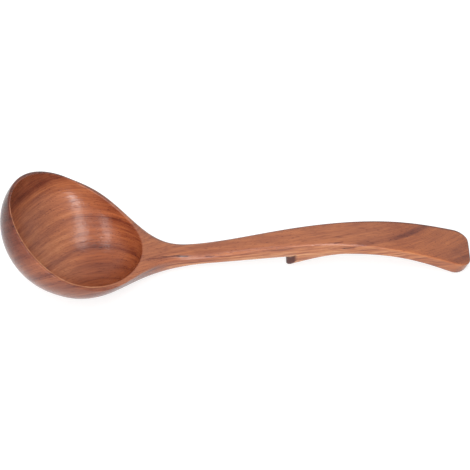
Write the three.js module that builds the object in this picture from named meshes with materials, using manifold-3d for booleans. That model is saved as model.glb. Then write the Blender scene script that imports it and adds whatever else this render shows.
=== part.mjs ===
// Wooden porridge ladle, carved from one billet: a round bowl that flows through a slim neck into a bowed
// handle, with a hook left standing under the handle to catch the rim of a pot.
// Millimetres. The ladle is shaped with its rim level and +X towards the end of the handle, then laid down
// on the table, where it rests on the bowl and on the end of the handle.
import * as THREE from 'three';
import { mergeVertices } from 'three/addons/utils/BufferGeometryUtils.js';
import Module from 'manifold-3d';

// Bowl, measured from its middle with the rim level
const bowlWidth = 90;           // across the rim, outside
const bowlFront = 45.7;         // middle to the front lip
const bowlDepth = 38;           // rim to underside
const rimDip = 1.6;             // how far the rim sinks between the lip and the neck
const rimWall = 1.6;            // wood between the hollow and the outside, at the sides and the lip
const rimRound = 2.1;           // height of the rounding on the rim's outer edge
const hollowBack = 50.4;        // middle to the back of the hollow
const hollowBackRise = 6.6;     // height of the rim at the back of the hollow, above the lip
const floorThickness = 5;       // wood under the hollow

// Shoulder and keel, where the bowl narrows and thins into the neck
const shoulderRun = 82.7;       // middle of the bowl to where the width has become the neck's
const shoulderSpread = 3.08;    // higher keeps the bowl full for longer
const shoulderSweep = 4.46;     // higher draws the shoulder into a longer, softer curve
const keelRun = 87.1;           // middle of the bowl to where the depth has become the neck's
const keelSweep = 2;            // higher lifts the underside sooner

// Handle: the runs follow one another along the rim's level, and the rises add up in the same way
const neckRun = 76;             // middle of the bowl to the slimmest place of the neck
const hookRun = 46.3;           // neck to the hook
const archRun = 62.7;           // hook to the top of the bow
const tailRun = 48.2;           // top of the bow to the end
const neckRise = 19.8;          // lip to the neck
const hookRise = 42;            // neck to the hook
const archRise = 40;            // hook to the top of the bow
const tailRise = 12.3;          // top of the bow to the end
const neckWidth = 13.3;
const hookWidth = 15.4;
const archWidth = 24.7;
const tailWidth = 30.4;         // where the sides would meet the end without its round corners
const neckThickness = 9.2;
const hookThickness = 13;
const archThickness = 9;
const tailThickness = 11.7;
const neckCrown = 4;            // top face down to the widest level: round on the neck, flat on the tail
const hookCrown = 2.4;
const archCrown = 1.6;
const tailCrown = 1.2;
const endRoundLength = 10.4;    // round corners of the end, along the handle
const endRoundInset = 9;        // the same corners, across the handle
const endLiftLength = 13;       // the underside curves up to the end over this run
const endLift = 5.5;            // height of that curve

// Hook under the handle
const hookDrop = 8.2;           // how far the nose stands below the underside
const hookTaper = 31.5;         // nose to where the hook has run out into the underside
const hookSweep = 1.5;          // higher lets the hook run out sooner
const hookSetIn = 0.15;         // sides of the hook stand this far inside those of the handle
const noseLean = 0.14;          // how far the nose reaches forward for each millimetre below the underside
const hookCorner = 0.8;         // height and run of the filling between the underside and the nose
const cornerWidth = 9;          // the same filling, across the handle
const noseRoundLength = 5.5;    // round sides of the nose, along the handle
const noseRoundInset = 4.2;     // the same, across the handle

// Fullness of the sections: 2 is an ellipse, higher is squarer
const bowlFullness = 2;
const mouthFullness = 1.91;     // the hollow's edge as seen from above
const rimFullness = 4;
const neckFullness = 3;
const hookFullness = 4.4;
const archFullness = 6.5;
const tailFullness = 8;

const ringPoints = 36;          // points round one section
const bowlSteps = 15;
const neckSteps = 18;
const handleSteps = 16;
const endSteps = 7;
const hollowSteps = 30;
const noseSteps = 5;
const taperSteps = 9;

// Places along the handle, from the middle of the bowl
const neckAt = neckRun;
const hookAt = neckAt + hookRun;
const archAt = hookAt + archRun;
const endAt = archAt + tailRun;
const neckHeight = neckRise;
const hookHeight = neckHeight + hookRise;
const archHeight = hookHeight + archRise;
const endHeight = archHeight + tailRise;

// Smooth line through given heights: a cubic spline, level at its start and free at its end
function smoothLine(places, heights) {
  const last = places.length - 1;
  const gap = places.slice(1).map((place, i) => place - places[i]);
  const rise = heights.slice(1).map((height, i) => (height - heights[i]) / gap[i]);
  const pivot = [2 * gap[0]];
  const load = [6 * rise[0]];
  for (let i = 1; i <= last; i += 1) {
    const share = gap[i - 1] / pivot[i - 1];
    pivot[i] = i < last ? 2 * (gap[i - 1] + gap[i]) - share * gap[i - 1] : 1;
    load[i] = i < last ? 6 * (rise[i] - rise[i - 1]) - share * load[i - 1] : 0;
  }
  const bend = [...load];
  bend[last] = 0;
  for (let i = last - 1; i >= 0; i -= 1) bend[i] = (load[i] - gap[i] * bend[i + 1]) / pivot[i];
  const span = (x) => Math.max(0, Math.min(last - 1, places.findIndex((place) => place > x) - 1));
  return {
    at(x) {
      const inside = Math.min(Math.max(x, places[0]), places[last]);
      const i = inside >= places[last] ? last - 1 : span(inside);
      const toEnd = places[i + 1] - inside;
      const toStart = inside - places[i];
      const curved = (bend[i] * toEnd ** 3 + bend[i + 1] * toStart ** 3) / (6 * gap[i]);
      const fromStart = (heights[i] / gap[i] - (bend[i] * gap[i]) / 6) * toEnd;
      const fromEnd = (heights[i + 1] / gap[i] - (bend[i + 1] * gap[i]) / 6) * toStart;
      return curved + fromStart + fromEnd;
    },
  };
}

const ease = (x, from, to) => THREE.MathUtils.smoothstep(x, from, to);
const mix = THREE.MathUtils.lerp;
const round = (share) => Math.sqrt(Math.max(0, 1 - share * share));

const topLine = smoothLine(
  [0, hollowBack, neckAt, hookAt, archAt, endAt],
  [-rimDip, hollowBackRise, neckHeight, hookHeight, archHeight, endHeight],
);
const handlePlaces = [neckAt, hookAt, archAt, endAt];
const widthLine = smoothLine(handlePlaces, [neckWidth, hookWidth, archWidth, tailWidth]);
const thicknessLine = smoothLine(handlePlaces, [neckThickness, hookThickness, archThickness, tailThickness]);
const crownLine = smoothLine(handlePlaces, [neckCrown, hookCrown, archCrown, tailCrown]);
const fullnessLine = smoothLine(handlePlaces, [neckFullness, hookFullness, archFullness, tailFullness]);

// Height of the rim and of the handle's top face
function topAt(x) {
  return x < 0 ? -rimDip * (1 - (x / bowlFront) ** 2) : topLine.at(x);
}

// How far a section leans, so that it stands square to the handle and upright in the bowl
function leanAt(x) {
  const reach = 0.5;
  const slope = (topAt(x + reach) - topAt(x - reach)) / (2 * reach);
  const endSlope = (topAt(endAt) - topAt(endAt - reach)) / reach;
  return Math.atan(x > endAt - reach ? endSlope : slope) * ease(x, bowlFront / 2, neckAt);
}

function halfWidthAt(x) {
  if (x < 0) return (bowlWidth / 2) * round(x / bowlFront);
  const shoulder = Math.max(0, 1 - (x / shoulderRun) ** shoulderSpread) ** shoulderSweep;
  const corner = endRoundInset * (1 - round(Math.max(0, 1 - (endAt - x) / endRoundLength)));
  return widthLine.at(x) / 2 + ((bowlWidth - neckWidth) / 2) * shoulder - corner;
}

function depthAt(x) {
  if (x < 0) return bowlDepth * round(x / bowlFront);
  const keel = Math.max(0, 1 - (x / keelRun) ** 2) ** keelSweep;
  const lift = endLift * (1 - round(Math.max(0, 1 - (endAt - x) / endLiftLength)));
  return thicknessLine.at(x) + (bowlDepth - neckThickness) * keel - lift;
}

// One point of a section: across the ladle, down from the top line along the section's lean, and back towards
// the end of the handle
function place(x, across, down, back) {
  const lean = leanAt(x);
  const along = x + down * Math.sin(lean) + back * Math.cos(lean);
  return new THREE.Vector3(along, across, topAt(x) - down * Math.cos(lean) + back * Math.sin(lean));
}

// Closed section: two half superellipses that share their widest level. A sheared section stays in place at
// its pivot and reaches forward below it.
function section(x, { halfWidth, top, waist, bottom, upperFullness, lowerFullness, shear = 0, pivot = 0 }) {
  return Array.from({ length: ringPoints }, (_, i) => {
    const angle = (2 * Math.PI * i) / ringPoints;
    const upper = Math.sin(angle) > 0;
    const power = 2 / (upper ? upperFullness : lowerFullness);
    const across = halfWidth * Math.sign(Math.cos(angle)) * Math.abs(Math.cos(angle)) ** power;
    const away = Math.abs(Math.sin(angle)) ** power;
    const down = waist + away * (upper ? top - waist : bottom - waist);
    return place(x, across, down, shear * (pivot - down));
  });
}

function bodySection(x) {
  const handleShare = ease(x, bowlFront / 2, neckAt);
  const depth = depthAt(x);
  return section(x, {
    halfWidth: halfWidthAt(x),
    top: 0,
    waist: Math.min(mix(rimRound, crownLine.at(x), handleShare), depth / 2),
    bottom: depth,
    upperFullness: mix(rimFullness, fullnessLine.at(x), handleShare),
    lowerFullness: mix(bowlFullness, fullnessLine.at(x), handleShare),
  });
}

// The hollow is an egg about the rim's line: its lower half is the inside of the bowl, its upper half is air
function hollowSection(x) {
  const share = Math.min(1, Math.abs(x < 0 ? x / (bowlFront - rimWall) : x / hollowBack));
  const depth = (bowlDepth - floorThickness) * round(share);
  return section(x, {
    halfWidth: (bowlWidth / 2 - rimWall) * (1 - share ** mouthFullness) ** (1 / mouthFullness),
    top: -depth,
    waist: 0,
    bottom: depth,
    upperFullness: bowlFullness,
    lowerFullness: bowlFullness,
  });
}

// How far the hook stands below the underside
function hookDropAt(x) {
  const left = Math.max(0, 1 - (x - hookAt) / hookTaper);
  return (hookDrop + hookSetIn) * left ** hookSweep - hookSetIn;
}

function hookHalfWidthAt(x) {
  const noseShare = Math.max(0, 1 - (x - hookAt) / noseRoundLength);
  return halfWidthAt(x) - hookSetIn - noseRoundInset * (1 - round(noseShare));
}

// The hook deepens the handle's own section, and leans forward most at its nose
function hookSection(x, halfWidth, drop) {
  return section(x, {
    halfWidth,
    top: crownLine.at(x) - hookSetIn,
    waist: crownLine.at(x),
    bottom: depthAt(x) + drop,
    upperFullness: hookFullness,
    lowerFullness: hookFullness,
    shear: noseLean * Math.max(0, 1 - (x - hookAt) / hookTaper),
    pivot: depthAt(x),
  });
}

const steps = (count, from, to) => Array.from({ length: count }, (_, i) => from + ((to - from) * i) / count);
const quarterSteps = (count, pole) => steps(count, 0, 1).map((t) => pole * Math.cos((t * Math.PI) / 2));

// Skin over a row of sections, closed by a fan at each end
function loft(sections) {
  const ends = [sections[0], sections[sections.length - 1]];
  const total = (points) => points.reduce((sum, p) => sum.add(p), new THREE.Vector3());
  const middle = (points) => total(points).divideScalar(points.length);
  const points = [...sections.flat(), ...ends.map(middle)];
  const startCentre = points.length - 2;
  const endCentre = points.length - 1;
  const lastRing = (sections.length - 1) * ringPoints;
  const index = [];
  for (let i = 0; i < ringPoints; i += 1) {
    const next = (i + 1) % ringPoints;
    for (let ring = 0; ring < lastRing; ring += ringPoints) {
      index.push(ring + i, ring + next, ring + ringPoints + i);
      index.push(ring + next, ring + ringPoints + next, ring + ringPoints + i);
    }
    index.push(startCentre, next, i);
    index.push(endCentre, lastRing + i, lastRing + next);
  }
  const geometry = new THREE.BufferGeometry().setFromPoints(points);
  geometry.setIndex(index);
  return mergeVertices(geometry, 1e-3);
}

const wasm = await Module();
wasm.setup();

function solid(geometry) {
  const vertProperties = new Float32Array(geometry.attributes.position.array);
  const corners = Array.from(geometry.index.array);
  const faces = steps(corners.length / 3, 0, corners.length / 3).map((f) => corners.slice(3 * f, 3 * f + 3));
  const kept = faces.filter(([a, b, c]) => a !== b && b !== c && c !== a);
  const triVerts = new Uint32Array(kept.flat());
  return new wasm.Manifold(new wasm.Mesh({ numProp: 3, vertProperties, triVerts }));
}

function geometryOf(manifold) {
  const mesh = manifold.getMesh();
  const geometry = new THREE.BufferGeometry();
  geometry.setAttribute('position', new THREE.BufferAttribute(new Float32Array(mesh.vertProperties), 3));
  geometry.setIndex(new THREE.BufferAttribute(new Uint32Array(mesh.triVerts), 1));
  geometry.computeVertexNormals();
  return geometry;
}

function carvedLadle() {
  const bodyPlaces = [
    ...quarterSteps(bowlSteps, -bowlFront),
    ...steps(neckSteps, 0, neckAt),
    ...steps(handleSteps, neckAt, endAt - endRoundLength),
    ...steps(endSteps, 0, 1).map((t) => endAt - endRoundLength * (1 - Math.sin((t * Math.PI) / 2))),
    endAt,
  ];
  const hollowFront = bowlFront - rimWall;
  const hollowPlaces = [
    ...quarterSteps(hollowSteps / 2, -hollowFront),
    0,
    ...quarterSteps(hollowSteps / 2, hollowBack).reverse(),
  ];
  const hookPlaces = [
    ...steps(noseSteps, 0, 1).map((t) => hookAt + noseRoundLength * (1 - Math.cos((t * Math.PI) / 2))),
    ...steps(taperSteps, hookAt + noseRoundLength, hookAt + hookTaper),
    hookAt + hookTaper,
  ];
  const body = solid(loft(bodyPlaces.map(bodySection)));
  const hook = solid(loft(hookPlaces.map((x) => hookSection(x, hookHalfWidthAt(x), hookDropAt(x)))));
  const corner = solid(loft([
    hookSection(hookAt - hookCorner, cornerWidth / 2, -hookSetIn),
    hookSection(hookAt, cornerWidth / 2, hookCorner),
    hookSection(hookAt + hookCorner, cornerWidth / 2, hookCorner),
  ]));
  const hollow = solid(loft(hollowPlaces.map(hollowSection)));
  return geometryOf(body.add(hook).add(corner).subtract(hollow));
}

// Lean at which the lowest places of the bowl and of the handle's end lie level: each pass levels the two
// places that are lowest at the lean found so far
function restingLean(geometry) {
  const corner = new THREE.Vector3();
  const height = (p, lean) => p.z * Math.cos(lean) - p.x * Math.sin(lean);
  const passes = 12;
  let lean = 0;
  for (let pass = 0; pass < passes; pass += 1) {
    const lowest = [null, null];
    for (let i = 0; i < geometry.attributes.position.count; i += 1) {
      corner.fromBufferAttribute(geometry.attributes.position, i);
      const half = corner.x < neckAt ? 0 : 1;
      const lower = !lowest[half] || height(corner, lean) < height(lowest[half], lean);
      if (lower && (half === 0 || corner.x > archAt)) lowest[half] = corner.clone();
    }
    lean = Math.atan2(lowest[1].z - lowest[0].z, lowest[1].x - lowest[0].x);
  }
  return lean;
}

const wood = new THREE.MeshStandardMaterial({ color: 0x8f5a44, roughness: 0.5, metalness: 0 });
const ladle = new THREE.Mesh(carvedLadle(), wood);
ladle.name = 'ladle';
ladle.rotation.y = restingLean(ladle.geometry);

// Stand it on the table with the origin under the middle of its box
const box = new THREE.Box3().setFromObject(ladle, true);
const middle = box.getCenter(new THREE.Vector3());
ladle.position.set(-middle.x, -middle.y, -box.min.z);

const porridgeLadle = new THREE.Group();
porridgeLadle.add(ladle);

export default porridgeLadle;
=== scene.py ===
import math
import bmesh
import bpy
import numpy as np
from mathutils import Matrix, Vector


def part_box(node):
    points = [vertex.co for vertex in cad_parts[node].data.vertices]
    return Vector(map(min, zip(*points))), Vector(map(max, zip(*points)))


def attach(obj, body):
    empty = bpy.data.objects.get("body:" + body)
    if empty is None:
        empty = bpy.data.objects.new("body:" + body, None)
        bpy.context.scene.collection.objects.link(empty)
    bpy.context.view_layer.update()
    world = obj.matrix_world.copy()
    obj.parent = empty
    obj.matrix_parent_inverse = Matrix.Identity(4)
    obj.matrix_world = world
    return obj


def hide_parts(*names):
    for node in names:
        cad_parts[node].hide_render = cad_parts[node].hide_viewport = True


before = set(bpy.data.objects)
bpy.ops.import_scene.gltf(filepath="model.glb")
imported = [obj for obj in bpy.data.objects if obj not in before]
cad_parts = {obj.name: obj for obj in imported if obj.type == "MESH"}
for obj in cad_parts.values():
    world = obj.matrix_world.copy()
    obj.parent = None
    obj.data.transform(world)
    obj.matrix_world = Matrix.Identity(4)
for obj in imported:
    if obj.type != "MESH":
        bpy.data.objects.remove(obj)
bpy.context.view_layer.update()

# The ladle as it is carved, in metres: rim level, origin in the middle of the bowl, +X to the handle's end
ladle = {
    "bowlWidth": 0.0900,
    "bowlFront": 0.0457,          # middle to the front lip
    "bowlDepth": 0.0380,
    "rimDip": 0.0016,             # how far the rim sinks between the lip and the neck
    "rimWall": 0.0016,
    "rimRound": 0.0021,           # height of the rounding on the rim's outer edge
    "rimFullness": 4.0,           # that rounding's section: 2 is an ellipse, higher is squarer
    "rimFrontReach": 0.0060,      # how far in it reaches at the front lip
    "rimInnerRound": 0.0008,      # rounding from the rim into the hollow
    "rimInnerShare": 0.6,         # the most of the rim's width that it takes up
    "hollowBack": 0.0504,         # middle to the back of the hollow
    "hollowBackRise": 0.0066,     # height of the rim there, above the lip
    "mouthFullness": 1.91,        # edge of the hollow from above: 2 is an ellipse
    "floorThickness": 0.0050,
    "shoulderRun": 0.0827,        # middle of the bowl to where the width has become the neck's
    "shoulderSpread": 3.08,
    "shoulderSweep": 4.46,
    "keelRun": 0.0871,            # middle of the bowl to where the depth has become the neck's
    "keelSweep": 2.0,
    "places": (0.0760, 0.1223, 0.1850, 0.2332),       # neck, hook, top of the bow, end
    "heights": (0.0198, 0.0618, 0.1018, 0.1141),
    "widths": (0.0133, 0.0154, 0.0247, 0.0304),
    "thicknesses": (0.0092, 0.0130, 0.0090, 0.0117),
    "crowns": (0.0040, 0.0024, 0.0016, 0.0012),       # top face down to the widest level
    "fullness": (3.0, 4.4, 6.5, 8.0),                 # sections: 2 is an ellipse, higher is squarer
    "bowlFullness": 2.0,
    "leanReach": 0.0005,          # the top's slope is taken over twice this length
    "endRoundLength": 0.0104,     # round corners of the end, along and across
    "endRoundInset": 0.0090,
    "endLiftLength": 0.0130,      # the underside curves up to the end
    "endLift": 0.0055,
    "endEdge": 0.0012,            # rounding where the end meets the faces
    "hookDrop": 0.0082,
    "hookTaper": 0.0315,
    "hookSweep": 1.5,
    "noseLean": 0.14,             # how far the nose reaches forward for its height
    "noseRound": 0.0055,          # how far the nose falls back at its sides
    "noseFlat": 0.40,             # share of the half width where it starts to
    "noseFull": 0.97,             # and where it has done so
    "noseInner": 0.0008,          # rounding in the corner of the hook
    "noseEdge": 0.0008,           # rounding on the hook's lower edge
    "noseApproach": 0.014,        # the rows start to follow the nose this far in front of it
    "noseLeave": 0.024,           # and have stopped this far behind it
    "cutAt": 0.0560,              # where the rays of the bowl's top hand over to the handle's rows
    "columns": 72,                # faces across one side of a section, and along each stretch
    "frontRows": 44, "backRows": 44, "neckRows": 35, "approachRows": 14, "wallRows": 5,
    "taperRows": 41, "gripRows": 39, "endRows": 30, "capRows": 6,
    "hollowRings": 46, "rimRings": 10, "edgeRings": 6,
}
neckAt, hookAt, archAt, endAt = ladle["places"]
halfBowl = ladle["bowlWidth"] / 2
tiny = 1e-6                       # keeps divisions off zero, and tells places that are the same


# Cubic spline through the heights, level at its start and free at its end
def smoothLine(places, heights):
    places, heights = np.array(places), np.array(heights)
    gap = np.diff(places)
    rise = np.diff(heights) / gap
    count = len(places)
    inner = np.arange(1, count - 1)
    matrix, load = np.zeros((count, count)), np.zeros(count)
    matrix[0, :2] = 2 * gap[0], gap[0]
    load[0] = 6 * rise[0]
    matrix[inner, inner - 1] = gap[:-1]
    matrix[inner, inner] = 2 * (gap[:-1] + gap[1:])
    matrix[inner, inner + 1] = gap[1:]
    load[1:-1] = 6 * np.diff(rise)
    matrix[-1, -1] = 1
    bend = np.linalg.solve(matrix, load)

    def line(x):
        x = np.clip(x, places[0], places[-1])
        i = np.clip(np.searchsorted(places, x, side="right") - 1, 0, count - 2)
        toEnd, toStart, run = places[i + 1] - x, x - places[i], gap[i]
        curved = (bend[i] * toEnd ** 3 + bend[i + 1] * toStart ** 3) / (6 * run)
        fromStart = (heights[i] / run - bend[i] * run / 6) * toEnd
        return curved + fromStart + (heights[i + 1] / run - bend[i + 1] * run / 6) * toStart
    return line


topLine = smoothLine((0, ladle["hollowBack"], *ladle["places"]),
                     (-ladle["rimDip"], ladle["hollowBackRise"], *ladle["heights"]))
widthLine = smoothLine(ladle["places"], ladle["widths"])
thicknessLine = smoothLine(ladle["places"], ladle["thicknesses"])
crownLine = smoothLine(ladle["places"], ladle["crowns"])
fullnessLine = smoothLine(ladle["places"], ladle["fullness"])


def ease(x, start, end):          # smooth step 3 s^2 - 2 s^3 from start to end
    share = np.clip((x - start) / (end - start), 0, 1)
    return share * share * (3 - 2 * share)


def quarter(share):               # height of a quarter circle of radius 1
    return np.sqrt(np.maximum(0, 1 - np.square(share)))


def handleShare(x):               # 0 in the bowl, 1 from the neck on
    return ease(x, ladle["bowlFront"] / 2, neckAt)


# Height of the rim and of the handle's top: a parabola in front of the bowl's middle, then the top line
def topAt(x):
    return np.where(x < 0, -ladle["rimDip"] * (1 - (x / ladle["bowlFront"]) ** 2), topLine(x))


# Sections stand square to the handle, at the arc tangent of the top's slope, and upright in the bowl
def leanAt(x):
    reach = ladle["leanReach"]
    middle = np.minimum(x, endAt - reach)
    slope = (topAt(middle + reach) - topAt(middle - reach)) / (2 * reach)
    return np.arctan(slope) * handleShare(x)


def roundedOff(x, length):        # 1 - quarter circle over the last stretch of the handle
    return 1 - quarter(np.clip(1 - (endAt - x) / length, 0, 1))


# The end's edge is rounded: faces and sides draw in by a quarter circle over the last stretch
def endDrawIn(x):
    return ladle["endEdge"] * roundedOff(x, ladle["endEdge"])


# Half ellipse in front; behind, the handle's width plus a shoulder (1 - s^spread)^sweep, less the round
# corners of the end
def halfWidthAt(x):
    shoulder = np.clip(1 - (np.maximum(x, 0) / ladle["shoulderRun"]) ** ladle["shoulderSpread"], 0, 1)
    spare = (ladle["bowlWidth"] - ladle["widths"][0]) / 2 * shoulder ** ladle["shoulderSweep"]
    corner = ladle["endRoundInset"] * roundedOff(x, ladle["endRoundLength"])
    behind = widthLine(x) / 2 + spare - corner - endDrawIn(x)
    return np.where(x < 0, halfBowl * quarter(x / ladle["bowlFront"]), behind)


# Ellipse in front; behind, the handle's thickness plus a keel (1 - s^2)^sweep, less the lift at the end
def depthAt(x):
    keel = np.clip(1 - (np.maximum(x, 0) / ladle["keelRun"]) ** 2, 0, 1) ** ladle["keelSweep"]
    front = ladle["rimRound"] + (ladle["bowlDepth"] - ladle["rimRound"]) * quarter(x / ladle["bowlFront"])
    lift = ladle["endLift"] * roundedOff(x, ladle["endLiftLength"])
    behind = thicknessLine(x) + (ladle["bowlDepth"] - ladle["thicknesses"][0]) * keel - lift
    return np.where(x < 0, front, behind - endDrawIn(x))


def waistAt(x):                   # widest level below the top: the rim's rounding, then the handle's crown
    return ladle["rimRound"] + (crownLine(x) - ladle["rimRound"]) * handleShare(x)


# A point of a section: across it, down from the top line along its lean, and back towards the handle's end
def placed(x, across, down, back=0.0):
    lean = leanAt(x)
    along = x + down * np.sin(lean) + back * np.cos(lean)
    height = topAt(x) - down * np.cos(lean) + back * np.sin(lean)
    return np.stack(np.broadcast_arrays(along, across, height), -1)


# Top face as a depth below the top line, waist (1 - (1 - s^n)^(1/n)): s goes from the middle of a section
# to its side, and round the front lip from a line behind the lip to the outline
def topDown(x, y):
    along, over = x / ladle["bowlFront"], y / halfBowl
    radius = np.maximum(np.hypot(along, over), tiny)
    steep = np.hypot(along / ladle["bowlFront"], over / halfBowl) / radius
    reach = ladle["rimFrontReach"] + (halfBowl - ladle["rimFrontReach"]) * (over / radius) ** 2
    frontShare = 1 - (1 - radius) / np.maximum(steep, tiny) / reach
    share = np.where(x < 0, frontShare, np.abs(y) / np.maximum(halfWidthAt(x), tiny))
    full = ladle["rimFullness"] + (fullnessLine(x) - ladle["rimFullness"]) * handleShare(x)
    return waistAt(x) * (1 - (1 - np.clip(share, 0, 1) ** full) ** (1 / full)) + endDrawIn(x)


# Corners of the faces of a grid, whose last column joins the first where it is closed
def gridFaces(rows, columns, first, closed=False):
    r, c = np.meshgrid(np.arange(rows - 1), np.arange(columns if closed else columns - 1), indexing="ij")
    n = (c + 1) % columns
    corners = np.stack([r * columns + c, r * columns + n, (r + 1) * columns + n, (r + 1) * columns + c], -1)
    return corners.reshape(-1, 4) + first


# Edges: where a painted highlight lies along the near edges, and where end grain begins
edgeLine = {
    "rim": (0.015, 0.040),        # the rim's painted highlight fades out towards the neck
    "rimWidth": 0.0011,
    "rimTop": (0.0006, 0.0013),   # distance from the hollow where the outside's painted shade sets in
    "rimSide": (-0.25, 0.15),     # the far side of the rim to the near one, across the bowl
    "handle": (0.125, 0.165),     # the painted highlight on the handle's near edge sets in behind the hook
    "handleShare": (0.955, 0.985),            # how far out it lies on the top
    "handleHighlight": 0.6,
    "noseSawn": (0.95, 0.975),    # share of the half width where the nose's end grain stops
    "endSawn": (endAt - 0.0026, endAt - 0.0006),
    "topSawn": (endAt - ladle["endEdge"], endAt - ladle["endEdge"] / 3),
}

# Painted shading, as shifts in tone from the rings: painted shade on the bowl's outside and the far edges,
# painted light on the handle's sides, and the hollow towards the neck darker, partly end grain and partly
# painted shade. How far along the ladle, and the shift in tone
paintedShadingAndGrain = {
    "lip": ((-0.042, -0.020), -0.18),         # painted shade on the front of the bowl's outside
    "outside": ((0.044, 0.076), -0.22),       # painted shade on the bowl's outside as far as the neck
    "keel": ((0.016, 0.034), -0.10),          # and more painted shade behind the middle of the bowl
    "backWallShadeAndGrain": ((0.014, 0.036), -0.18),      # hollow towards the neck: darker, partly its end grain, partly painted shade
    "side": ((0.045, 0.075), 0.16),           # painted light on the sides and underside of the handle
    # the painted light on the sides eases back towards the end
    "sideLightEnd": ((0.115, 0.230), -0.14),
    "farEdgeShade": ((0.30, 0.70), -0.36),         # painted shade towards the far side of the top, as s^n of the section
    # painted shade on the far rim, fading towards the neck
    "farRimShade": ((0.015, 0.040), -0.28),
    "tail": ((0.165, 0.190), -0.03),          # top of the handle's last stretch, painted darker against the white reflection
    "tailWarmedAgainstSheen": 0.7,                          # and how far it is painted warmer against that reflection
}


def setIn(name, x):               # a painted tint that grows along its stretch
    reach, shift = paintedShadingAndGrain[name]
    return shift * ease(x, *reach)


def dieOut(name, x):              # a painted tint that fades along its stretch
    reach, shift = paintedShadingAndGrain[name]
    return shift * (1 - ease(x, *reach))


# Painted shade on the bowl's outside: lip (1 - e) + (outside + keel e) (1 - e), each e an ease along its
# own stretch
def paintedOutsideShade(x):
    reach, shift = paintedShadingAndGrain["outside"]
    return dieOut("lip", x) + (shift + setIn("keel", x)) * (1 - ease(x, *reach))


# Rows of the underside: base place, how far the row follows the nose in plan, the hook's drop there and its
# lean, and whether the row lies on the nose. The drop goes round the corner, down the nose and round its
# lower edge, and then runs out as (1 - s)^sweep
def undersideRows():
    turn = np.linspace(0, 1, ladle["edgeRings"] + 1) * math.pi / 2
    inner, edge, drop = ladle["noseInner"], ladle["noseEdge"], ladle["hookDrop"]
    approachAt, taperAt = hookAt - ladle["noseApproach"], hookAt + ladle["hookTaper"]
    endRound = ladle["endRoundLength"]
    wallDrop = np.linspace(inner, drop - edge, ladle["wallRows"] + 2)[1:-1]
    front = -ladle["bowlFront"] * np.cos(np.linspace(0, 1, ladle["frontRows"] + 1)[:-1] * math.pi / 2)
    back = np.linspace(0, ladle["cutAt"], ladle["backRows"] + 1)
    neck = np.linspace(ladle["cutAt"], approachAt, ladle["neckRows"] + 1)[1:]
    approach = np.linspace(approachAt, hookAt - inner, ladle["approachRows"] + 2)[1:-1]
    corner = hookAt - inner + inner * np.sin(turn)
    wall = np.full(len(wallDrop), hookAt)
    lower = hookAt + edge * (1 - np.cos(turn))
    taper = np.linspace(hookAt + edge, taperAt, ladle["taperRows"] + 1)[1:]
    grip = np.linspace(taperAt, endAt - endRound, ladle["gripRows"] + 1)[1:]
    end = endAt - endRound * (1 - np.sin(np.linspace(0, 1, ladle["endRows"] + 1)[1:] * math.pi / 2))
    base = np.concatenate([front, back, neck, approach, corner, wall, lower, taper, grip, end])
    run = np.clip((base - lower[-1]) / (taperAt - lower[-1]), 0, 1)
    fall = np.where(base > lower[-1], drop * (1 - run) ** ladle["hookSweep"], 0)
    steps = np.concatenate([inner * (1 - np.cos(turn)), wallDrop, drop - edge * (1 - np.sin(turn))])
    first = len(front) + len(back) + len(neck) + len(approach)
    fall[first:first + len(steps)] = steps
    joining = ease(base, approachAt, hookAt - inner)
    leaving = 1 - ease(base, hookAt + edge, hookAt + ladle["noseLeave"])
    follow = np.where(base < hookAt, joining, leaving)
    nose = np.zeros(len(base))
    nose[first + len(corner) - 2:first + len(steps) - 1] = 1
    return base, follow, fall, 1 - run, nose


# Underside: y = w cos(a)/r and down = waist + (depth + drop - waist) sin(a)/r, with a from 0 to pi and
# r = (|cos|^n + |sin|^n)^(1/n). What lies below the handle leans forward with the nose
def underside():
    base, follow, fall, share, nose = (row[:, None] for row in undersideRows())
    angle = np.linspace(0, math.pi, ladle["columns"] + 1)[None]
    full = ladle["bowlFullness"] + (fullnessLine(base) - ladle["bowlFullness"]) * handleShare(base)
    radius = (np.abs(np.cos(angle)) ** full + np.abs(np.sin(angle)) ** full) ** (1 / full)
    over, under = np.cos(angle) / radius, np.sin(angle) / radius
    aside = np.clip((np.abs(over) - ladle["noseFlat"]) / (ladle["noseFull"] - ladle["noseFlat"]), 0, 1)
    x = base + follow * ladle["noseRound"] * (1 - quarter(aside))
    waist = waistAt(x) + endDrawIn(x)
    down = waist + (depthAt(x) + fall - waist) * under
    back = -ladle["noseLean"] * share * np.clip(down - depthAt(x), 0, ladle["hookDrop"]) * (fall > 0)
    sawn = nose * (1 - ease(np.abs(over), *edgeLine["noseSawn"])) + ease(x, *edgeLine["endSawn"])
    # painted highlight along the handle's near top edge
    painted_highlight = edgeLine["handleHighlight"] * (under < tiny) * (over < 0) * ease(x, *edgeLine["handle"])
    # painted shade on the bowl's outside, painted light on the handle's sides and underside
    painted_shading_and_grain = paintedOutsideShade(x) + setIn("side", x) + setIn("sideLightEnd", x)
    return x, placed(x, halfWidthAt(x) * over, down, back), sawn, painted_highlight, painted_shading_and_grain


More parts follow.
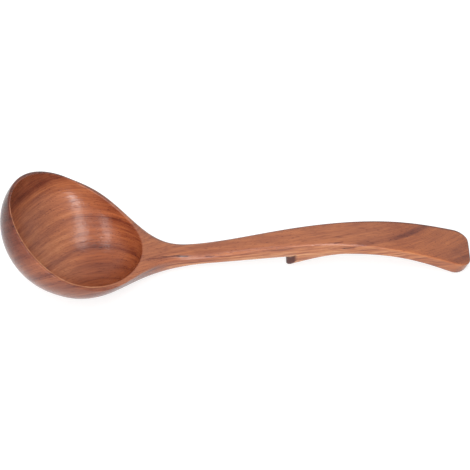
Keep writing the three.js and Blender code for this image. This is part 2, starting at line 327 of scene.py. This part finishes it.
# Top of the bowl: rays from its middle cross the hollow, the rounding and the rim, and end on the outline.
# The hollow goes down as lip + (floor - lip) sqrt(1 - s^2), and its mouth is |x/a|^p + |y/b|^p = 1
def bowlTop(over):
    base = undersideRows()[0]
    sides = base[base <= ladle["cutAt"] + tiny]
    acrossY = halfWidthAt(np.array(ladle["cutAt"])) * over[::-1][1:-1]
    outX = np.concatenate([sides[::-1], sides[1:], np.full(len(acrossY), ladle["cutAt"])])
    outY = np.concatenate([halfWidthAt(sides[::-1]), -halfWidthAt(sides[1:]), acrossY])
    reach = np.hypot(outX, outY)
    dirX, dirY = outX / reach, outY / reach
    length = np.where(dirX < 0, ladle["bowlFront"] - ladle["rimWall"], ladle["hollowBack"])
    p = ladle["mouthFullness"]
    mouth = (np.abs(dirX / length) ** p + np.abs(dirY / (halfBowl - ladle["rimWall"])) ** p) ** (-1 / p)
    rounding = np.minimum(ladle["rimInnerRound"], ladle["rimInnerShare"] * (reach - mouth))
    lipDown = topDown(mouth * dirX, mouth * dirY) + rounding
    share = np.sin(np.linspace(0, math.pi / 2, ladle["hollowRings"] + 1))[:, None]
    floorDown = ladle["bowlDepth"] - ladle["floorThickness"]
    hollowR, hollowDown = share * mouth, lipDown + (floorDown - lipDown) * quarter(share)
    turn = np.linspace(0, math.pi / 2, ladle["edgeRings"] + 1)[1:, None]
    edgeR = mouth + rounding * (1 - np.cos(turn))
    edgeDown = topDown(edgeR * dirX, edgeR * dirY) + rounding * (1 - np.sin(turn))
    outward = np.sin(np.linspace(0, math.pi / 2, ladle["rimRings"] + 1))[1:, None]
    rimR = edgeR[-1] + (reach - edgeR[-1]) * outward
    rimDown = topDown(rimR * dirX, rimR * dirY)
    radius = np.concatenate([hollowR, edgeR, rimR])
    down = np.concatenate([hollowDown, edgeDown, rimDown])
    # marks: what lies inside the hollow, the crest of the rim, and how far a ray points to the near side
    edgeIn, edgeOut = np.cos(turn) + 0 * edgeR, np.sin(turn) + 0 * edgeR
    rimFade = 1 - ease(rimR - mouth, 0, edgeLine["rimWidth"])
    inside = np.concatenate([np.ones(hollowR.shape), edgeIn, np.zeros(rimR.shape)])
    crest = np.concatenate([np.zeros(hollowR.shape), edgeOut, rimFade])
    along = radius * dirX
    near = ease(-dirY, *edgeLine["rimSide"])
    onRim = 1 - ease(along, *edgeLine["rim"])
    # painted highlight along the crest of the near rim
    painted_highlight = crest * near * onRim
    # painted shade on the far rim; the near rim's outer part takes the outside's painted shade
    paintedFarRimShade = (1 - near) * dieOut("farRimShade", along)
    paintedNearRimShade = near * paintedOutsideShade(along) * onRim * ease(radius - mouth, *edgeLine["rimTop"])
    # the hollow darker towards the neck, partly its end grain and partly painted shade, and painted warmer
    # there against the white reflection
    painted_shading_and_grain = inside * setIn("backWallShadeAndGrain", along) + (1 - inside) * (paintedFarRimShade + paintedNearRimShade)
    warmed_against_sheen = inside * ease(along, *paintedShadingAndGrain["backWallShadeAndGrain"][0])
    return placed(along, radius * dirY, down), painted_highlight, painted_shading_and_grain, warmed_against_sheen


# Lean at which the lowest places of the bowl and of the handle's end lie level, closer with each pass
def restingLean(points, passes=12):
    lean = 0.0
    for _ in range(passes):
        height = points[:, 2] * math.cos(lean) - points[:, 0] * math.sin(lean)
        foot = points[np.argmin(np.where(points[:, 0] < neckAt, height, np.inf))]
        tail = points[np.argmin(np.where(points[:, 0] > archAt, height, np.inf))]
        lean = math.atan2(tail[2] - foot[2], tail[0] - foot[0])
    return lean


# The ladle on the table: x' = x cos + z sin and z' = z cos - x sin, then moved to the middle of the CAD box
def laidDown(points):
    lean = restingLean(points)
    c, s = math.cos(lean), math.sin(lean)
    x, y, z = points.T
    laid = np.stack([x * c + z * s, y, z * c - x * s], -1)
    boxLow, boxHigh = (np.array(corner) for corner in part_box("ladle"))
    middle = (laid[:, 0].min() + laid[:, 0].max()) / 2
    laid += np.array([(boxLow[0] + boxHigh[0]) / 2 - middle, 0, boxLow[2] - laid[:, 2].min()])
    print("ladle laid down at", round(math.degrees(lean), 3), "degrees,", len(points), "points")
    return laid


weld = {"digits": 6, "gap": 2e-6, "sliver": 1e-7}     # decimals and lengths in metres


# Points that lie on each other share the mean of their marks
def sharedMarks(points, marks):
    same = np.unique(np.round(points, weld["digits"]), axis=0, return_inverse=True)[1].reshape(-1)
    shared = {}
    for name, grids in marks.items():
        flat = np.concatenate([grid.reshape(-1) for grid in grids])
        shared[name] = (np.bincount(same, flat) / np.bincount(same))[same]
    return shared


# Four grids: underside, top of the bowl, top of the handle by its rows, and a flat cap that closes the end
def carveLadle():
    over = np.sin(np.linspace(math.pi / 2, -math.pi / 2, ladle["columns"] + 1))
    lowX, low, lowSawn, lowPaintedHighlight, lowPaintedShading = underside()
    bowl, bowlPaintedHighlight, bowlShadingAndGrain, bowlWarmedAgainstSheen = bowlTop(over)
    side = lowX[:, 0]
    rows = side[(side >= ladle["cutAt"] - tiny) & np.r_[True, np.diff(side) > tiny]][:, None]
    acrossTop = halfWidthAt(rows) * over
    top = placed(rows, acrossTop, topDown(rows, acrossTop))
    fill = np.linspace(0, 1, ladle["capRows"] + 1)[:, None, None]
    cap = top[-1] * (1 - fill) + low[-1] * fill
    grids = [(low, False), (bowl, True), (top, False), (cap, False)]
    points = np.concatenate([grid.reshape(-1, 3) for grid, _ in grids])
    starts = np.cumsum([0] + [grid.shape[0] * grid.shape[1] for grid, _ in grids])
    faces = np.concatenate([gridFaces(grid.shape[0], grid.shape[1], start, closed)
                            for (grid, closed), start in zip(grids, starts)])
    # painted highlight along the handle's near top edge
    topEdge = ease(-over, *edgeLine["handleShare"])
    topPaintedHighlight = edgeLine["handleHighlight"] * topEdge * ease(rows, *edgeLine["handle"])
    # painted shade towards the far side of the top; the tail's top is painted darker against the white
    # reflection
    farSide = np.maximum(over, 0) ** fullnessLine(rows)
    topPaintedShading = setIn("farEdgeShade", farSide) * handleShare(rows) + setIn("tail", rows)
    # colour painted warmer on the tail's top, against the white reflection
    topWarmedAgainstSheen = paintedShadingAndGrain["tailWarmedAgainstSheen"] * ease(rows, *paintedShadingAndGrain["tail"][0]) + 0 * over
    topSawn = ease(rows, *edgeLine["topSawn"]) + 0 * over
    noLow, noBowl, _, noCap = (np.zeros(grid.shape[:2]) for grid, _ in grids)
    marks = {
        "painted_shading_and_grain": [lowPaintedShading, bowlShadingAndGrain, topPaintedShading, noCap],
        "painted_highlight": [lowPaintedHighlight, bowlPaintedHighlight, topPaintedHighlight, noCap],
        "sawn": [lowSawn, noBowl, topSawn, noCap + 1],
        "warmed_against_sheen": [noLow, bowlWarmedAgainstSheen, topWarmedAgainstSheen, noCap],
    }
    return laidDown(points), faces, sharedMarks(points, marks)


# Doubles are merged along the seams, and faces turned outwards
def weldedMesh(name, points, faces, marks):
    mesh = bpy.data.meshes.new(name)
    mesh.from_pydata(points.tolist(), [], faces.tolist())
    for mark, values in marks.items():
        mesh.attributes.new(mark, "FLOAT", "POINT").data.foreach_set("value", values.astype(np.float32))
    work = bmesh.new()
    work.from_mesh(mesh)
    bmesh.ops.remove_doubles(work, verts=work.verts, dist=weld["gap"])
    bmesh.ops.dissolve_degenerate(work, edges=work.edges, dist=weld["sliver"])
    bmesh.ops.recalc_face_normals(work, faces=work.faces)
    openEdges = sum(not edge.is_manifold for edge in work.edges)
    work.to_mesh(mesh)
    work.free()
    mesh.polygons.foreach_set("use_smooth", np.ones(len(mesh.polygons), dtype=bool))
    print(name, "has", len(mesh.polygons), "faces and", openEdges, "open edges")
    return mesh


laid, faces, marks = carveLadle()
ladleMesh = weldedMesh("carved_ladle", laid, faces, marks)
carved = bpy.data.objects.new("carved_ladle", ladleMesh)
bpy.context.scene.collection.objects.link(carved)
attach(carved, "root")
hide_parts("ladle")


def linear(red, green, blue):     # screen colour 0 to 255 as linear light, by the sRGB curve
    share = np.array([red, green, blue]) / 255
    return (*np.where(share <= 0.04045, share / 12.92, ((share + 0.055) / 1.055) ** 2.4).tolist(), 1.0)


def add(tree, kind, inputs=None, **settings):         # a node, its inputs linked or set
    made = tree.nodes.new(kind)
    for name, value in settings.items():
        setattr(made, name, value)
    for key, value in (inputs or {}).items():
        if isinstance(value, bpy.types.NodeSocket):
            tree.links.new(value, made.inputs[key])
        else:
            made.inputs[key].default_value = value
    return made


def calc(tree, operation, *values):
    return add(tree, "ShaderNodeMath", dict(enumerate(values)), operation=operation).outputs[0]


def noise(tree, coords, stretch, detail, roughness=0.5):
    scaled = add(tree, "ShaderNodeMapping", {"Vector": coords, "Scale": stretch}).outputs[0]
    inputs = {"Vector": scaled, "Scale": 1.0, "Detail": detail, "Roughness": roughness}
    return add(tree, "ShaderNodeTexNoise", inputs).outputs[0]


def spread(tree, value, fromLow, fromHigh, toLow=0.0, toHigh=1.0):
    inputs = {"Value": value, "From Min": fromLow, "From Max": fromHigh, "To Min": toLow, "To Max": toHigh}
    return add(tree, "ShaderNodeMapRange", inputs).outputs[0]


def mixed(tree, mode, share, first, second):
    inputs = {0: share, 6: first, 7: second}
    return add(tree, "ShaderNodeMix", inputs, data_type="RGBA", blend_type=mode).outputs[2]


def ramp(tree, value, stops):
    made = add(tree, "ShaderNodeValToRGB", {0: value})
    band = made.color_ramp
    while len(band.elements) < len(stops):
        band.elements.new(1.0)
    for element, (place, colour) in zip(band.elements, sorted(stops)):
        element.position = place
        element.color = colour
    return made.outputs[0]


def swing(tree, value, size, onto=0.0):               # onto + (noise - its middle) size
    return calc(tree, "MULTIPLY_ADD", calc(tree, "SUBTRACT", value, 0.5), size, onto)


def drawnTo(tree, tone, middle, share):               # middle + (tone - middle) share
    return calc(tree, "MULTIPLY_ADD", calc(tree, "SUBTRACT", tone, middle), share, middle)


def distance(tree, parts, y, z):                      # sqrt(dy^2 + dz^2) from a line that runs along X
    offY, offZ = calc(tree, "SUBTRACT", parts["Y"], y), calc(tree, "SUBTRACT", parts["Z"], z)
    return calc(tree, "SQRT", calc(tree, "MULTIPLY_ADD", offY, offY, calc(tree, "MULTIPLY", offZ, offZ)))


# Wood: growth rings lie round one pith line, above the ladle and on its far side. A tone goes from 0, dark,
# to 1, pale. A grain is a noise: how often it changes along each axis, its detail and its roughness
wood = {
    "pith": (0.0485, 0.1026),     # Y and Z of that line over the middle of the ladle
    "pithSlope": (0.0782, 0.0648),            # and how far it runs off along X
    "wander": 0.0012,             # how far the rings stray
    "strayGrain": ((9, 30, 30), 3.0),
    "ringSpan": (44, 130),        # nearest and farthest ring, in millimetres from the pith
    "bowlRings": [                # millimetres from the pith, and tone
        (44, 0.34), (53.5, 0.29), (56, 0.40), (59, 0.62), (60.5, 0.46), (64.5, 0.62), (70, 0.53),
        (74, 0.52), (78.2, 0.70), (79.7, 0.60), (80.6, 0.42), (81.8, 0.54), (85.3, 0.63), (87.5, 0.66),
        (90.5, 0.73), (92.5, 0.62), (94.2, 0.34), (95.4, 0.50), (96.6, 0.68), (100, 0.56), (104, 0.54),
        (110, 0.56),
    ],
    "handleRings": [
        (88, 0.46), (97, 0.52), (100, 0.55), (101.2, 0.52), (102.3, 0.33), (103, 0.36), (104.2, 0.52),
        (106, 0.62), (108.8, 0.56), (113.6, 0.68), (118.3, 0.46), (120.3, 0.51), (122, 0.40), (123, 0.22),
        (124.2, 0.37), (126.5, 0.47), (130, 0.46),
    ],
    "handleFrom": (-0.076, -0.054),           # X where the handle's rings take over
    "neckTone": 0.50, "neckRings": 0.30,      # the neck's tone, and how strong the rings are there
    "neckFade": (0.010, 0.050),   # X where they grow to their full strength
    "middle": 0.58,               # tone that rings fade to where they break off
    "patchGrain": ((42, 60, 60), 2.0),        # where they do
    "patchRange": (0.36, 0.62, 0.45, 1.15),
    "outsideFade": (-0.34, -0.20),            # painted shading values at which rings and streaks are fainter, and how strong
    "outsideRings": 0.35, "outsideStreaks": 0.25,
    "streakGrain": ((24, 640, 45), 4.0, 0.6),         # these two along X, the ring and Y
    "hairGrain": ((60, 1700, 130), 2.0),
    "broadGrain": ((16, 210, 210), 3.0, 0.55),
    "fibreGrain": ((45, 1300, 1300), 3.0, 0.6),
    "poreGrain": ((130, 2300, 2300), 1.0), "poreRange": (0.62, 0.72),
    "streaks": 0.62, "hairs": 0.38, "broad": 0.22, "fibres": 0.18, "pores": 0.30,     # shifts in tone
    "handleStreaks": (-0.03, 0.05, 1.0, 0.85),        # X, and the strength of streaks in front and behind
    "sideStreaks": (0.0, 0.06, 1.0, 3.0),     # painted shading value, and their strength elsewhere and on the handle's sides
    "veins": [                    # dark lines on the near edge of neck and handle: ends, and shift in tone
        ((-0.0600, -0.0094, 0.0199), (-0.0480, -0.0064, 0.0178), 0.42),
        ((-0.0500, -0.0060, 0.0179), (-0.0370, -0.0044, 0.0168), 0.62),
        ((-0.0395, -0.0046, 0.0168), (-0.0280, -0.0051, 0.0165), 0.72),
        ((-0.0290, -0.0052, 0.0165), (-0.0140, -0.0060, 0.0170), 0.45),
        ((-0.0150, -0.0062, 0.0170), (0.0090, -0.0070, 0.0175), 0.32),
        ((0.0610, -0.0083, 0.0284), (0.0680, -0.0072, 0.0285), 0.40),
        ((0.0665, -0.0096, 0.0249), (0.0755, -0.0102, 0.0257), 0.75),
    ],
    "veinReach": 0.0007,          # how far they reach round
    "veinFade": 0.18,             # share of their length over which they fade out at each end
    "dashGrain": ((150, 60, 60), 1.0), "dashRange": (0.34, 0.52, 0.15, 1.0),
    "painted_highlight": 0.30,                 # how much paler the painted highlight makes near edges
    "tones": [                    # tone and screen colour
        (0.0, (66, 35, 29)), (0.22, (124, 65, 49)), (0.45, (161, 94, 65)), (0.65, (188, 115, 76)),
        (0.85, (208, 139, 94)), (1.0, (224, 163, 119)),
    ],
    "warmed_against_sheen": (1.0, 0.86, 0.68, 1.0),           # what wood painted warmer against the white reflection is multiplied with
    "sawn": (96, 61, 55),         # screen colour of end grain
    "gloss": 0.42, "outsideGloss": 0.20, "sawnGloss": 0.28,
    "glossTints": (-0.40, -0.10),             # painted shading values of the outside's gloss and of the rest
    "roughness": 0.16, "roughSpread": 0.06, "roughFibres": (0.3, 0.7),
    "relief": 0.22, "reliefDepth": 0.0004, "poreRelief": 0.6,
}


# Tone of the rings: the bowl's own in front, the handle's behind, faint on the neck
def ringTone(tree, parts, ring):
    nearest, farthest = wood["ringSpan"]
    run = farthest - nearest
    level = spread(tree, ring, nearest / 1000, farthest / 1000)       # metres
    bowlTone, handleTone = (
        ramp(tree, level, [((at - nearest) / run, (tone, tone, tone, 1.0)) for at, tone in wood[name]])
        for name in ("bowlRings", "handleRings"))
    grown = spread(tree, parts["X"], *wood["neckFade"], wood["neckRings"], 1.0)
    handleTone = drawnTo(tree, handleTone, wood["neckTone"], grown)
    return mixed(tree, "MIX", spread(tree, parts["X"], *wood["handleFrom"]), bowlTone, handleTone)


# Veins taken off a tone: each is deepest on a straight line, fades out at its ends and breaks into dashes
def veined(tree, coords, parts, tone):
    dashes = spread(tree, noise(tree, coords, *wood["dashGrain"]), *wood["dashRange"])
    for start, end, depth in wood["veins"]:
        share = spread(tree, parts["X"], start[0], end[0])
        lineY, lineZ = (spread(tree, share, 0.0, 1.0, start[axis], end[axis]) for axis in (1, 2))
        core = spread(tree, distance(tree, parts, lineY, lineZ), 0.0, wood["veinReach"], depth, 0.0)
        fadeIn = spread(tree, share, 0.0, wood["veinFade"])
        fadeOut = spread(tree, share, 1 - wood["veinFade"], 1.0, 1.0, 0.0)
        lasting = calc(tree, "MULTIPLY", calc(tree, "MULTIPLY", fadeIn, fadeOut), dashes)
        tone = calc(tree, "SUBTRACT", tone, calc(tree, "MULTIPLY", core, lasting))
    return tone


def woodMaterial():
    material = bpy.data.materials.new("oiled_hardwood")
    material.use_nodes = True
    tree = material.node_tree
    coords = add(tree, "ShaderNodeTexCoord").outputs["Object"]
    parts = add(tree, "ShaderNodeSeparateXYZ", {0: coords}).outputs
    painted_shading_and_grain, painted_highlight, sawn, warmed_against_sheen = (add(tree, "ShaderNodeAttribute", attribute_name=name).outputs["Fac"]
                              for name in ("painted_shading_and_grain", "painted_highlight", "sawn", "warmed_against_sheen"))
    # ring = distance from the pith line + wander
    pithY, pithZ = (calc(tree, "MULTIPLY_ADD", parts["X"], slope, at)
                    for at, slope in zip(wood["pith"], wood["pithSlope"]))
    stray = noise(tree, coords, *wood["strayGrain"])
    ring = swing(tree, stray, 2 * wood["wander"], distance(tree, parts, pithY, pithZ))
    # rings break off here and there along the wood, and are fainter on the bowl's outside
    patches = spread(tree, noise(tree, coords, *wood["patchGrain"]), *wood["patchRange"])
    onOutside = spread(tree, painted_shading_and_grain, *wood["outsideFade"], wood["outsideRings"], 1.0)
    patches = calc(tree, "MULTIPLY", patches, onOutside)
    tone = drawnTo(tree, ringTone(tree, parts, ring), wood["middle"], patches)
    # streaks and hairs run along the rings
    grain = add(tree, "ShaderNodeCombineXYZ", {0: parts["X"], 1: ring, 2: parts["Y"]}).outputs[0]
    streaks, hairs = (noise(tree, grain, *wood[name]) for name in ("streakGrain", "hairGrain"))
    drawn = swing(tree, hairs, wood["hairs"], swing(tree, streaks, wood["streaks"]))
    drawn = calc(tree, "MULTIPLY", drawn, spread(tree, parts["X"], *wood["handleStreaks"]))
    drawn = calc(tree, "MULTIPLY", drawn, spread(tree, painted_shading_and_grain, *wood["sideStreaks"]))
    onOutside = spread(tree, painted_shading_and_grain, *wood["outsideFade"], wood["outsideStreaks"], 1.0)
    tone = veined(tree, coords, parts, calc(tree, "MULTIPLY_ADD", drawn, onOutside, tone))
    # fibres, pores, and the marks on the mesh: painted shading, painted highlight, colour painted warmer
    # against the white reflection, end grain
    broad, fibres = (noise(tree, coords, *wood[name]) for name in ("broadGrain", "fibreGrain"))
    pores = spread(tree, noise(tree, coords, *wood["poreGrain"]), *wood["poreRange"])
    tone = swing(tree, fibres, wood["fibres"], swing(tree, broad, wood["broad"], tone))
    tone = calc(tree, "MULTIPLY_ADD", pores, -wood["pores"], tone)
    tone = calc(tree, "MULTIPLY_ADD", painted_highlight, wood["painted_highlight"], calc(tree, "ADD", tone, painted_shading_and_grain))
    colour = ramp(tree, tone, [(at, linear(*shade)) for at, shade in wood["tones"]])
    # colour painted warmer where the white reflection would grey it
    colour = mixed(tree, "MULTIPLY", warmed_against_sheen, colour, wood["warmed_against_sheen"])
    colour = mixed(tree, "MIX", sawn, colour, linear(*wood["sawn"]))
    # oil finish: less gloss on the bowl's outside and on end grain, rougher between fibres
    gloss = spread(tree, painted_shading_and_grain, *wood["glossTints"], wood["outsideGloss"], wood["gloss"])
    gloss = calc(tree, "MULTIPLY", gloss, spread(tree, sawn, 0.0, 1.0, 1.0, wood["sawnGloss"]))
    roughest = wood["roughness"] + wood["roughSpread"]
    rough = spread(tree, fibres, *wood["roughFibres"], roughest, wood["roughness"])
    height = calc(tree, "ADD", calc(tree, "ADD", fibres, hairs), streaks)
    height = calc(tree, "MULTIPLY_ADD", pores, -wood["poreRelief"], height)
    relief = {"Height": height, "Strength": wood["relief"], "Distance": wood["reliefDepth"]}
    bump = add(tree, "ShaderNodeBump", relief).outputs[0]
    finish = {"Base Color": colour, "Specular IOR Level": gloss, "Roughness": rough, "Normal": bump}
    for name, socket in finish.items():
        tree.links.new(socket, tree.nodes["Principled BSDF"].inputs[name])
    return material


ladleMesh.materials.append(woodMaterial())
print("wood done")

# Camera of the photograph, in degrees and metres
cameraSet = {
    "turn": 3.794, "elevation": 49.35, "roll": 1.008,
    "target": (-0.001462, 0.0, 0.03022), "distance": 2.0, "lens": 239.74, "clipEnd": 50,
}


def setCamera():
    turn, rise, roll = (math.radians(cameraSet[name]) for name in ("turn", "elevation", "roll"))
    look = Vector((math.sin(turn) * math.cos(rise), math.cos(turn) * math.cos(rise), -math.sin(rise)))
    right = Vector((math.cos(turn), -math.sin(turn), 0))
    upward = right.cross(look)
    rolledRight = right * math.cos(roll) + upward * math.sin(roll)
    rolledUp = upward * math.cos(roll) - right * math.sin(roll)
    camera = bpy.data.objects.new("camera", bpy.data.cameras.new("camera"))
    bpy.context.scene.collection.objects.link(camera)
    camera.location = Vector(cameraSet["target"]) - look * cameraSet["distance"]
    camera.rotation_euler = Matrix((rolledRight, rolledUp, -look)).transposed().to_euler()
    camera.data.lens = cameraSet["lens"]
    camera.data.clip_end = cameraSet["clipEnd"]
    bpy.context.scene.camera = camera


studio = {
    "floorHalf": 4.0,
    "floorColour": 0.50,
    "floorLift": 0.75,            # what is seen on top of the lit floor
    "surround": 0.25,             # strength of the white surroundings as light
    "aim": (-0.095, 0.02, 0.012),
    "panes": {                    # centre from the aim, long direction, width, length, brightness
        "overhead": ((0.17, -0.35, 1.40), (0.13, 1.0, 0.0), 0.28, 1.27, 6.7),
        "overhead_left": ((-0.72, -0.43, 1.40), (0.50, 1.0, 0.0), 0.26, 1.60, 6.7),
        "front": ((0.10, -1.20, 0.84), (0.0, 0.4, 1.0), 0.34, 0.70, 4.8),
        "front_low": ((0.10, -1.38, 0.30), (0.0, 0.0, 1.0), 0.26, 0.40, 18.5),
        "front_left": ((-0.82, -0.90, 0.66), (0.0, 0.0, 1.0), 0.26, 0.34, 6.7),
    },
}


# 1 for the camera, for reflections and for what is seen through, 0 for light that falls on things
def seen(tree):
    path = add(tree, "ShaderNodeLightPath").outputs
    mirrored = calc(tree, "MAXIMUM", path["Is Glossy Ray"], path["Is Transmission Ray"])
    return calc(tree, "MAXIMUM", path["Is Camera Ray"], mirrored)


def setFloor():
    half, grey = studio["floorHalf"], studio["floorColour"]
    corners = [(-half, -half, 0), (half, -half, 0), (half, half, 0), (-half, half, 0)]
    mesh = bpy.data.meshes.new("floor")
    mesh.from_pydata(corners, [], [(0, 1, 2, 3)])
    floor = bpy.data.objects.new("floor", mesh)
    bpy.context.scene.collection.objects.link(floor)
    material = bpy.data.materials.new("white_floor")
    material.use_nodes = True
    tree = material.node_tree
    tree.nodes.remove(tree.nodes["Principled BSDF"])
    lit = add(tree, "ShaderNodeBsdfDiffuse", {"Color": (grey, grey, grey, 1)}).outputs[0]
    lift = calc(tree, "MULTIPLY", seen(tree), studio["floorLift"])
    glow = add(tree, "ShaderNodeEmission", {"Color": (1, 1, 1, 1), "Strength": lift}).outputs[0]
    both = add(tree, "ShaderNodeAddShader", {0: lit, 1: glow}).outputs[0]
    tree.links.new(both, tree.nodes["Material Output"].inputs["Surface"])
    mesh.materials.append(material)


def setSurroundings():
    world = bpy.data.worlds.new("studio")
    bpy.context.scene.world = world
    world.use_nodes = True
    tree = world.node_tree
    background = tree.nodes["Background"]
    background.inputs["Color"].default_value = (1, 1, 1, 1)
    strength = spread(tree, seen(tree), 0.0, 1.0, studio["surround"], 1.0)
    tree.links.new(strength, background.inputs["Strength"])


# A pane of brightness b gives b * pi * area watts
def setLights():
    aim = Vector(studio["aim"])
    for name, (centre, longWay, width, length, brightness) in studio["panes"].items():
        lamp = bpy.data.lights.new(name, "AREA")
        lamp.shape = "RECTANGLE"
        lamp.size, lamp.size_y = width, length
        lamp.energy = brightness * math.pi * width * length
        away = Vector(centre).normalized()
        across = Vector(longWay).cross(away).normalized()
        light = bpy.data.objects.new(name, lamp)
        bpy.context.scene.collection.objects.link(light)
        light.location = aim + Vector(centre)
        light.rotation_euler = Matrix((across, away.cross(across), away)).transposed().to_euler()


setCamera()
setFloor()
setSurroundings()
setLights()
bpy.context.scene.view_settings.view_transform = "Standard"
print("camera, stage and lights set")
